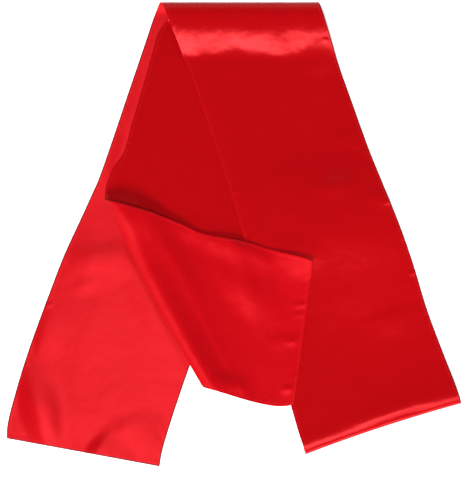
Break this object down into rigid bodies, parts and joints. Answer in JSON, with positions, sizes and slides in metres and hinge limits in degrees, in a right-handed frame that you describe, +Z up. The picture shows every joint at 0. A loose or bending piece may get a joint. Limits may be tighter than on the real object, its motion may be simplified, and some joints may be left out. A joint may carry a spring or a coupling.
{
  "type": "silk sash",
  "caption": "Long satin sash with narrow hems, folded over itself and laid flat, with one end turned across both falls.",
  "frame": {"origin": "on the surface that the sash lies on, under the middle of its outline", "axes": "+Y towards the top bend, +X towards the right fall, +Z up from the surface"},
  "size_m": [0.4275, 0.4593, 0.0141],
  "materials": {
    "satin_face": "glossy face of a red satin, sharp sheen along the folds",
    "satin_back": "softer, lighter back of the same red satin"
  },
  "bodies": {
    "root": {"left_fall": "satin_back", "right_fall": "satin_face", "hidden_return": "satin_back", "inner_fall": "satin_face", "turned_end": "satin_back"}
  },
  "joints": []
}
